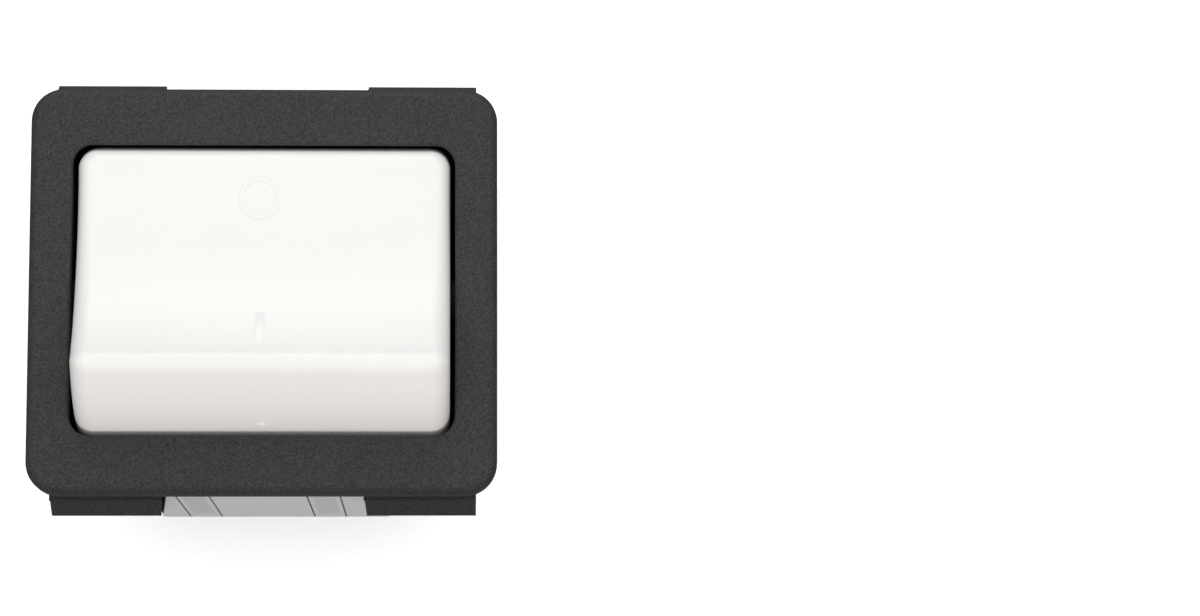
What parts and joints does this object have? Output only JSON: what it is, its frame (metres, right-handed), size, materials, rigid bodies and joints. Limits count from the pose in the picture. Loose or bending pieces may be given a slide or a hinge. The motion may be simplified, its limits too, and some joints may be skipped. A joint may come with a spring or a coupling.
{
  "type": "snap-in rocker power switch",
  "caption": "Snap-in panel power switch with a dished white rocker in a black bezel, sprung latch arms, seesaw contacts and push-on terminals.",
  "frame": {"origin": "centre of the panel cut-out, on the rear face of the bezel", "axes": "+X to the right along the panel, +Y up along the panel, +Z out of the panel towards the user"},
  "size_m": [0.047, 0.0442, 0.0484],
  "materials": {
    "black_nylon": "fine matte grain",
    "white_rocker": "satin moulded",
    "label_foil": "satin foil label, blank",
    "plunger_nylon": "natural nylon",
    "spring_steel": "drawn wire",
    "blade_copper": "rolled copper alloy",
    "contact_silver": "silver alloy, dull",
    "terminal_brass": "tinned brass"
  },
  "bodies": {
    "housing": {"housing": "black_nylon", "terminal_base": "black_nylon", "rating_label": "label_foil", "fulcrum_terminal_left": "terminal_brass", "fulcrum_terminal_right": "terminal_brass", "load_terminal_left": "terminal_brass", "load_terminal_right": "terminal_brass", "fixed_contact_left": "contact_silver", "fixed_contact_right": "contact_silver"},
    "rocker": {"rocker_cap": "white_rocker", "rocker_carrier": "black_nylon", "plunger_spring_left": "spring_steel", "plunger_spring_right": "spring_steel"},
    "plunger_left": {"plunger_left": "plunger_nylon"},
    "plunger_right": {"plunger_right": "plunger_nylon"},
    "blade_left": {"contact_blade_left": "blade_copper", "moving_contact_left": "contact_silver"},
    "blade_right": {"contact_blade_right": "blade_copper", "moving_contact_right": "contact_silver"}
  },
  "joints": [
    {"name": "rocker_tilt", "type": "hinge", "parent": "housing", "child": "rocker", "pos_m": [0, 0, -0.0039], "axis": [1, 0, 0], "range_deg": [0, 32]},
    {"name": "blade_left_tilt", "type": "hinge", "parent": "housing", "child": "blade_left", "pos_m": [-0.011, 0, -0.0153], "axis": [1, 0, 0], "range_deg": [-16, 0]},
    {"name": "plunger_left_slide", "type": "slide", "parent": "rocker", "child": "plunger_left", "axis": [0, 0.2756, 0.9613], "range_m": [0, 0.0008], "stiffness_N_per_m": 900, "springref_m": -0.0015, "deforming": ["plunger_spring_left"]},
    {"name": "blade_right_tilt", "type": "hinge", "parent": "housing", "child": "blade_right", "pos_m": [0.011, 0, -0.0153], "axis": [1, 0, 0], "range_deg": [-16, 0]},
    {"name": "plunger_right_slide", "type": "slide", "parent": "rocker", "child": "plunger_right", "axis": [0, 0.2756, 0.9613], "range_m": [0, 0.0008], "stiffness_N_per_m": 900, "springref_m": -0.0015, "deforming": ["plunger_spring_right"]}
  ],
  "couplings": [
    {"joint": "blade_left_tilt", "follows": "rocker_tilt", "ratio": -0.5},
    {"joint": "blade_right_tilt", "follows": "rocker_tilt", "ratio": -0.5}
  ]
}
